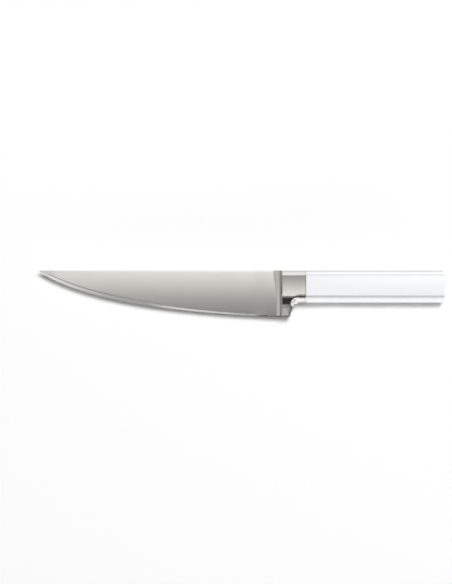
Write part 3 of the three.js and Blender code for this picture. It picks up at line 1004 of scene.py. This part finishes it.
def bolster_half(along, down):
    """Half thickness: side face or step, less the lower facet, under the bevel along the top."""
    body = face_half(down, NECK_TOP, NECK_SLOPES)
    if down > COVE_TOP:
        stepped = guard_half(down)
        faded = limit((along - GUARD_FOOT - COVE_FADE) / (FINGER_REACH - COVE_FADE))
        body = stepped + (body - stepped) * smooth(faded)
    distance, turn = nearest_outline(along, down)
    width = FOOT_CHAMFER + (LOWER_FACET - FOOT_CHAMFER) * smooth(turn)
    steepness = FOOT_STEEPNESS + (FACET_STEEPNESS - FOOT_STEEPNESS) * turn**FACET_TURNING
    inwards = max(distance / width, 0)
    roll = limit(inwards) * (1 - turn) + facet(inwards) * turn
    body -= width * steepness * (1 - roll)
    return soft_min(top_bevel(down), body, EDGE_SOFTNESS)


print("lower facet:", round(LOWER_FACET / MM, 1), "mm high, steepness", round(FACET_STEEPNESS, 2))

# %% Set out the bolster's rows and stations
FRONT_EASE = 0.4 * MM
REAR_EASE = 0.35 * MM
LINE_WIDTH = 1.2 * MM
CREASE_REACH = 1.7 * MM
ROUND_ROWS, BEVEL_ROWS, LINE_ROWS, FACE_ROWS, CREASE_ROWS = 6, 3, 10, 14, 16
BOLSTER_LOWER_ROWS = 44
EASE_STATIONS, FLAT_STATIONS, FINGER_STATIONS = 6, 5, 36


def upper_rows():
    """Distances below the spine that catch the upper bevel, the side face and both creases."""
    half_line = LINE_WIDTH / 2
    rows = [TOP_ROUND * (1 - math.cos(a)) for a in spread(0, math.pi / 2, ROUND_ROWS)]
    rows += spread(TOP_ROUND, TOP_BEVEL - half_line, BEVEL_ROWS)[1:]
    rows += spread(TOP_BEVEL - half_line, TOP_BEVEL + half_line, LINE_ROWS)[1:]
    rows += spread(TOP_BEVEL + half_line, COVE_TOP - CREASE_REACH, FACE_ROWS)[1:]
    rows += spread(COVE_TOP - CREASE_REACH, COVE_TOP + CREASE_REACH, CREASE_ROWS)[1:]
    return rows


def lower_rows(lowest, steps):
    first = COVE_TOP + CREASE_REACH
    return [first + (lowest - first) * math.sin(a) for a in spread(0, math.pi / 2, steps)[1:]]


def bolster_section(along, lowest):
    ease = edge_fall(along - SEAM, FRONT_EASE) + edge_fall(BOLSTER_LENGTH - along, REAR_EASE)
    rows = upper_rows() + lower_rows(lowest, BOLSTER_LOWER_ROWS)
    return [(along, down, bolster_half(along, down) - ease) for down in rows]


def bolster_stations():
    """Stations with the lowest point of each, crowded where the front and rear edges turn."""
    quarter = spread(0, math.pi / 2, EASE_STATIONS)
    front = [SEAM + FRONT_EASE * (1 - math.cos(a)) for a in quarter]
    front += spread(SEAM + FRONT_EASE, GUARD_FOOT, FLAT_STATIONS)[1:-1]
    last = GUARD_FOOT + FINGER_REACH
    rear = spread(last, BOLSTER_LENGTH - REAR_EASE, FLAT_STATIONS)[1:]
    rear += [BOLSTER_LENGTH - REAR_EASE * (1 - math.sin(a)) for a in quarter[1:]]
    places = [(along, BLADE_DEPTH) for along in front]
    places += [finger_curve(turn) for turn in spread(0, 1, FINGER_STATIONS)]
    return places + [(along, HANDLE_HEIGHT) for along in rear]


print("stations along the bolster:", len(bolster_stations()))

# %% Make the bolster and cut the slot for the tang
FIT = 0.1 * MM
DOWEL_FIT = 0.05 * MM


def dowel_holes():
    """Cutters for the two dowels that keep bolster and handle from turning."""
    holes = []
    for name in ("upper_dowel", "lower_dowel"):
        low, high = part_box(name)
        outline = round_outline((high.z - low.z) / 2 + DOWEL_FIT, SPINE_Y - (low.y + high.y) / 2)
        holes.append(prism(name + " hole", outline, low.x - SEAM_X - FIT, high.x - SEAM_X + FIT))
    return holes


slot_outline = square_outline(TANG_HEIGHT + 2 * FIT, TANG_THICKNESS + 2 * FIT)
tang_slot = prism("tang slot", slot_outline, -OVERLAP, BOLSTER_LENGTH + OVERLAP)
neck = mirrored_mesh("bolster_forged", [bolster_section(*where) for where in bolster_stations()])
bolster = new_piece("bolster_forged", combine(neck, "DIFFERENCE", [tang_slot] + dowel_holes()))
bolster.data.materials.append(bolster_steel)
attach(bolster, BODY)
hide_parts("bolster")

# %% [markdown]
# ## Handle and plug
#
# The handle is one moulding: flat bevels along the top, sides with a very slight crown, facets along
# the lower edges and a domed butt. It is drawn like the bolster, section after section, and the last
# sections are drawn in towards the middle to make the dome. Then it is bored for the tang, and a
# round plug that closes the bore is cut from the same dome, so that its face follows the butt.

# %% Draw the handle's sections
BUTT_DOME = 3.1 * MM
BUTT_FULLNESS = 2.6
DOME_STEPS = 24
DOME_CENTRE = 0.05
FRONT_ROUND = 0.25 * MM
FRONT_STATIONS = 4
HANDLE_LOWER_ROWS = 24
HANDLE_INSET = 0.13 * MM
HANDLE_TOP = HALF_HANDLE - HANDLE_INSET
HANDLE_SLOPES = (0.04, -0.11)
LINE_DEPTH = 0.3 * MM


def line_depth(down, where):
    """Depth of a fine rounded line cut along the knife."""
    share = abs(down - where) / (LINE_WIDTH / 2)
    return LINE_DEPTH * math.cos(share * math.pi / 2) ** 2 if share < 1 else 0.0


def handle_half(down):
    body = face_half(down, HANDLE_TOP, HANDLE_SLOPES)
    inwards = max((HANDLE_HEIGHT - down) / LOWER_FACET, 0)
    body = HALF_UNDERSIDE + (body - HALF_UNDERSIDE) * facet(inwards)
    body = soft_min(top_bevel(down), body, EDGE_SOFTNESS)
    return body - line_depth(down, TOP_BEVEL) - line_depth(down, COVE_TOP)


def handle_section(along):
    ease = edge_fall(along - HANDLE_START, FRONT_ROUND)
    rows = upper_rows() + lower_rows(HANDLE_HEIGHT, HANDLE_LOWER_ROWS)
    return [(along, down, handle_half(down) - ease) for down in rows]


def drawn_in(share):
    """The plain section drawn in towards its middle, on the dome of the butt."""
    along = BUTT - BUTT_DOME * share**BUTT_FULLNESS
    section = handle_section(BUTT - BUTT_DOME)
    return [(along, AXIS_DOWN + (d - AXIS_DOWN) * share, out * share) for _, d, out in section]


def handle_halves():
    quarter = spread(0, math.pi / 2, FRONT_STATIONS)
    front = [HANDLE_START + FRONT_ROUND * (1 - math.cos(a)) for a in quarter]
    halves = [handle_section(along) for along in front + [BUTT - BUTT_DOME - CRISP]]
    return halves + [drawn_in(math.sqrt(share)) for share in spread(1, DOME_CENTRE**2, DOME_STEPS)]


print("sections along the handle:", len(handle_halves()))

# %% Bore the handle and cut its plug
STUD_FIT = 0.3 * MM
NUT_POCKET_RADIUS = 6 * MM
# How strongly painted shade greys the upper line, the lower line and the edge along the spine.
UPPER_LINE_SHADE = 0.3
LOWER_LINE_SHADE = 0.72
LOWER_LINE_SHIFT = 0.4 * MM
SPINE_LINE_SHADE = 0.75
SPINE_LINE_WIDTH = 1.3 * MM


def handle_bores():
    low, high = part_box("tang_bedding")
    pocket = square_outline(high.y - low.y + 2 * FIT, high.z - low.z + 2 * FIT)
    nut_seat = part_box("tang_washer")[0].x - SEAM_X
    return [
        prism("tang pocket", pocket, HANDLE_START - OVERLAP, TANG_END + OVERLAP / 2),
        prism("stud hole", round_outline(STUD_RADIUS + STUD_FIT), TANG_END, nut_seat + OVERLAP),
        prism("nut pocket", round_outline(NUT_POCKET_RADIUS), nut_seat, BUTT + OVERLAP),
    ]


def note_painted_shade(mesh):
    """Notes on every point how much painted shade greys it, near the spine edge and the two fine lines.
    """
    line = mesh.attributes.new("line", "FLOAT", "POINT")
    for vertex, note in zip(mesh.vertices, line.data):
        down = SPINE_Y - vertex.co.y
        upper = 1 - limit(abs(down - TOP_BEVEL) / LINE_WIDTH)
        lower = 1 - limit(abs(down - COVE_TOP - LOWER_LINE_SHIFT) / CREASE_REACH)
        spine = 1 - limit(down / SPINE_LINE_WIDTH)
        before_dome = limit((SEAM_X + BUTT - vertex.co.x) / BUTT_DOME)
        dark = UPPER_LINE_SHADE * smooth(upper) + LOWER_LINE_SHADE * smooth(lower)
        note.value = (dark + SPINE_LINE_SHADE * math.sqrt(spine)) * before_dome


def finish_white(name, mesh, node):
    piece = new_piece(name, mesh)
    piece.data.materials.append(handle_white)
    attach(piece, BODY)
    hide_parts(node)


plug_low, plug_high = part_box("butt_plug")
plug_outline = round_outline((plug_high.z - plug_low.z) / 2)
plug_core = prism("plug core", plug_outline, plug_low.x - SEAM_X, BUTT + OVERLAP)
plug_mesh = combine(mirrored_mesh("butt_plug_moulded", handle_halves()), "INTERSECT", [plug_core])
blank = mirrored_mesh("handle_moulded", handle_halves())
handle_mesh = combine(blank, "DIFFERENCE", handle_bores() + dowel_holes())
note_painted_shade(handle_mesh)
finish_white("handle_moulded", handle_mesh, "handle")
finish_white("butt_plug_moulded", plug_mesh, "butt_plug")

# %% [markdown]
# ## What is inside the handle
#
# The resin round the tang, the two dowels and the washer, disc spring and nut on the stud have the
# right shapes already, so their solids stay. They get finishes of their own, because the knife may be
# shown taken apart: amber cast resin, and plain steel with the fine rings that turning leaves.

# %% Finish the inner pieces
inner_finishes = {
    "tang_bedding": amber_resin,
    "upper_dowel": turned_steel,
    "lower_dowel": turned_steel,
    "tang_washer": turned_steel,
    "tang_spring": turned_steel,
    "tang_nut": turned_steel,
}
for name, finish in inner_finishes.items():
    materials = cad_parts[name].data.materials
    materials.clear()
    materials.append(finish)
print("inner pieces:", len(inner_finishes))

# %% [markdown]
# ## Floor and lamp
#
# The knife lies on a white floor under one round soft lamp, a little behind the spine and towards
# the butt, so a short soft shadow falls in front of the edge. The lamp is hidden from reflections,
# because the steel gets a studio of its own below. The floor adds a little light of its own where
# the camera or a reflection looks at it, so that it turns white and still keeps the shadow.

# %% Lay the floor and hang the lamp
FLOOR_HALF = 6.0
FLOOR_WHITE = (0.86, 0.86, 0.86, 1.0)
FLOOR_ROUGHNESS = 0.9
FLOOR_GLOW = 0.1
LAMP_DISTANCE = 5.0
LAMP_SPREAD = 23
LAMP_LEAN = (0.2, 0.32, 1.0)
LAMP_LEVEL = 0.94


def build_floor():
    corners = [(-1, -1), (1, -1), (1, 1), (-1, 1)]
    mesh = bpy.data.meshes.new("floor")
    mesh.from_pydata([(x * FLOOR_HALF, y * FLOOR_HALF, 0.0) for x, y in corners], [], [(0, 1, 2, 3)])
    material, tree, shader = new_material("white floor")
    shader.inputs["Base Color"].default_value = FLOOR_WHITE
    shader.inputs["Roughness"].default_value = FLOOR_ROUGHNESS
    shader.inputs["Specular IOR Level"].default_value = 0.0
    shader.inputs["Emission Color"].default_value = (1.0, 1.0, 1.0, 1.0)
    seen = group_node(tree, "ShaderNodeLightPath", -600, -300)
    either = group_node(tree, "ShaderNodeMath", -400, -300, operation="MAXIMUM")
    glow = group_node(tree, "ShaderNodeMath", -200, -300, operation="MULTIPLY")
    glow.inputs[1].default_value = FLOOR_GLOW
    tree.links.new(seen.outputs["Is Camera Ray"], either.inputs[0])
    tree.links.new(seen.outputs["Is Glossy Ray"], either.inputs[1])
    tree.links.new(either.outputs[0], glow.inputs[0])
    tree.links.new(glow.outputs[0], shader.inputs["Emission Strength"])
    mesh.materials.append(material)
    return new_piece("floor", mesh)


def hang_lamp():
    direction = Vector(LAMP_LEAN).normalized()
    radius = LAMP_DISTANCE * math.tan(math.radians(LAMP_SPREAD / 2))
    data = bpy.data.lights.new("soft lamp", "AREA")
    data.shape = "DISK"
    data.size = 2 * radius
    solid_angle = math.pi * radius**2 / LAMP_DISTANCE**2
    radiance = LAMP_LEVEL * math.pi / (solid_angle * direction.z)
    data.energy = radiance * math.pi * math.pi * radius**2
    lamp = bpy.data.objects.new("soft lamp", data)
    lamp.location = direction * LAMP_DISTANCE
    lamp.rotation_euler = (-direction).to_track_quat("-Z", "Y").to_euler()
    lamp.visible_glossy = False
    bpy.context.collection.objects.link(lamp)
    return lamp


floor = build_floor()
lamp = hang_lamp()
print("lamp power", round(lamp.data.energy, 1), "W")

# %% [markdown]
# ## What the steel reflects
#
# Metal has no colour of its own to speak of: it shows its surroundings. Around this knife hang long
# white cloths that run along it. One fills the side behind the spine and ends almost straight above,
# so the ground faces fade from light to dark as they turn away from it. The front side falls to nearly
# black, with two thin strips that the edge bevel catches, one near the heel and one near the tip. The
# room's two ends have values of their own, for surfaces that face along the knife. The world paints
# all this as bands: by angle, where 0 is straight up, 90 the horizon behind the spine and -90 the one
# in front, and by how much of a direction points along the knife. Only reflections see these bands.
# Plain surfaces get a fill of their own, and the camera sees white.

# %% Set the bands of light
STUDIO = [
    (-180, 1.0),
    (-87, 2.0),
    (-82, 1.7),
    (-76, 0.45),
    (-72, 0.04),
    (-56, 0.015),
    (-51, 0.07),
    (-46, 0.17),
    (-38, 0.3),
    (-20, 0.42),
    (-13, 0.38),
    (-9, 0.14),
    (-5, 0.46),
    (0, 1.49),
    (4, 1.6),
    (12, 1.5),
    (25, 0.9),
    (65, 0.9),
    (80, 1.5),
    (90, 1.75),
    (180, 1.0),
]
HEEL_STRIP = [(-40, 0.0), (-35, 2.0), (-26, 2.0), (-20, 0.0)]
HEEL_STRIP_REACH = [
    (-0.1, 0.0),
    (-0.08, 0.4),
    (-0.06, 0.4),
    (-0.045, 0.34),
    (-0.026, 0.17),
    (-0.018, 0.0),
]
TIP_STRIP = [(-24, 0.0), (-20, 1.0), (-10, 1.0), (-8, 0.0)]
TIP_STRIP_REACH = [(-0.32, 0.0), (-0.24, 0.8), (-0.18, 0.8), (-0.13, 0.5), (-0.1, 0.25), (-0.05, 0.0)]
ENDS = [
    (-1.0, 0.45),
    (-0.92, 0.55),
    (-0.84, 0.85),
    (-0.6, 0.76),
    (-0.4, 0.42),
    (-0.2, 0.4),
    (0.3, 0.5),
    (1.0, 0.2),
]
END_SHARE = [(-0.45, 1.0), (-0.2, 0.8), (-0.08, 0.0), (0.12, 0.0), (0.45, 1.0)]
END_START = [(-22, 0.0), (-12, 1.0)]
FILL = [(-92, 4.0), (-80, 4.0), (-74, 0.1), (90, 0.1)]
print("surroundings:", len(STUDIO), "bands")

# %% Paint the surroundings
BRIGHTEST = 4.0
ALL_ROUND = (-180, 180)
END_TO_END = (-1, 1)


def paint_ramp(rule, value, steps, span):
    """Brightness by place: a ramp through (place, brightness) steps, read at a value."""
    low, high = span
    ramp = rule.node("ShaderNodeValToRGB")
    marks = ramp.color_ramp.elements
    while len(marks) < len(steps):
        marks.new(0.5)
    for mark, (where, bright) in zip(marks, steps):
        mark.position = (where - low) / (high - low)
        mark.color = [bright / BRIGHTEST] * 3 + [1.0]
    share = rule.math("DIVIDE", rule.math("SUBTRACT", value, low), high - low)
    rule.tree.links.new(share, ramp.inputs["Fac"])
    return rule.math("MULTIPLY", ramp.outputs["Color"], BRIGHTEST)


def build_world():
    world = bpy.data.worlds.new("studio")
    world.use_nodes = True
    # Sampled like a lamp, the world could not tell reflections from plain light.
    world.cycles.sampling_method = "NONE"
    tree = world.node_tree
    rule = Rule(tree)
    direction = rule.node("ShaderNodeSeparateXYZ")
    tree.links.new(rule.node("ShaderNodeTexCoord").outputs["Generated"], direction.inputs[0])
    endwise = direction.outputs["X"]
    angle = rule.math("ARCTAN2", direction.outputs["Y"], direction.outputs["Z"])
    angle = rule.math("MULTIPLY", angle, 180 / math.pi)
    strip = paint_ramp(rule, angle, HEEL_STRIP, ALL_ROUND)
    strip = rule.math("MULTIPLY", strip, paint_ramp(rule, endwise, HEEL_STRIP_REACH, END_TO_END))
    tip_strip = paint_ramp(rule, angle, TIP_STRIP, ALL_ROUND)
    tip_strip = rule.math("MULTIPLY", tip_strip, paint_ramp(rule, endwise, TIP_STRIP_REACH, END_TO_END))
    cloths = paint_ramp(rule, angle, STUDIO, ALL_ROUND)
    ends = paint_ramp(rule, endwise, ENDS, END_TO_END)
    share = paint_ramp(rule, endwise, END_SHARE, END_TO_END)
    share = rule.math("MULTIPLY", share, paint_ramp(rule, angle, END_START, ALL_ROUND))
    studio = blend(rule, share, cloths, ends)
    studio = rule.math("ADD", studio, rule.math("ADD", strip, tip_strip))
    fill = paint_ramp(rule, angle, FILL, ALL_ROUND)
    seen = rule.node("ShaderNodeLightPath")
    light = blend(rule, seen.outputs["Is Glossy Ray"], fill, studio)
    shown = rule.math("MAXIMUM", light, seen.outputs["Is Camera Ray"])
    tree.links.new(shown, tree.nodes["Background"].inputs["Color"])
    return world


bpy.context.scene.world = build_world()
bpy.context.scene.view_settings.view_transform = "Standard"
print("world:", bpy.context.scene.world.name)
